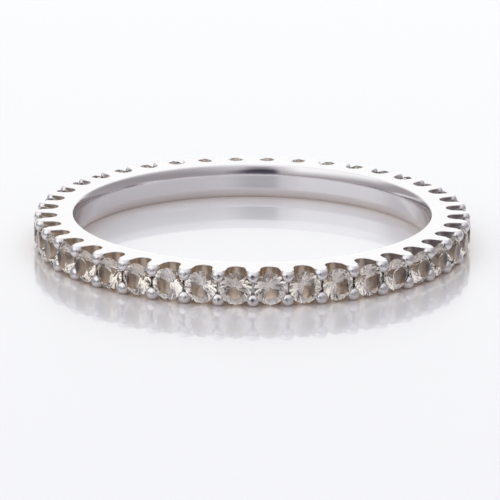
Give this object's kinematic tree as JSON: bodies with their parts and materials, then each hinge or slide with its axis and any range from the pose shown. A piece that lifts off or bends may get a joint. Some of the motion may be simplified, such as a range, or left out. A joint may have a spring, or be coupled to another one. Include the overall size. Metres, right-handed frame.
{
  "type": "eternity ring",
  "caption": "Finger ring with a closed row of round brilliant stones in a white metal setting of U-shaped notches and shared prongs.",
  "frame": {"origin": "centre of the finger hole at the side face that the ring rests on", "axes": "+Z along the finger axis, away from the resting face; a prong pair stands on -Y"},
  "size_m": [0.0204, 0.0204, 0.0016],
  "materials": {
    "white_gold": "polished",
    "brilliant_stone": "polished"
  },
  "bodies": {
    "root": {"setting": "white_gold", "stone_01": "brilliant_stone", "stone_02": "brilliant_stone", "stone_03": "brilliant_stone", "stone_04": "brilliant_stone", "stone_05": "brilliant_stone", "stone_06": "brilliant_stone", "stone_07": "brilliant_stone", "stone_08": "brilliant_stone", "stone_09": "brilliant_stone", "stone_10": "brilliant_stone", "stone_11": "brilliant_stone", "stone_12": "brilliant_stone", "stone_13": "brilliant_stone", "stone_14": "brilliant_stone", "stone_15": "brilliant_stone", "stone_16": "brilliant_stone", "stone_17": "brilliant_stone", "stone_18": "brilliant_stone", "stone_19": "brilliant_stone", "stone_20": "brilliant_stone", "stone_21": "brilliant_stone", "stone_22": "brilliant_stone", "stone_23": "brilliant_stone", "stone_24": "brilliant_stone", "stone_25": "brilliant_stone", "stone_26": "brilliant_stone", "stone_27": "brilliant_stone", "stone_28": "brilliant_stone", "stone_29": "brilliant_stone", "stone_30": "brilliant_stone", "stone_31": "brilliant_stone", "stone_32": "brilliant_stone", "stone_33": "brilliant_stone", "stone_34": "brilliant_stone", "stone_35": "brilliant_stone", "stone_36": "brilliant_stone", "stone_37": "brilliant_stone", "stone_38": "brilliant_stone", "stone_39": "brilliant_stone", "stone_40": "brilliant_stone"}
  },
  "joints": []
}
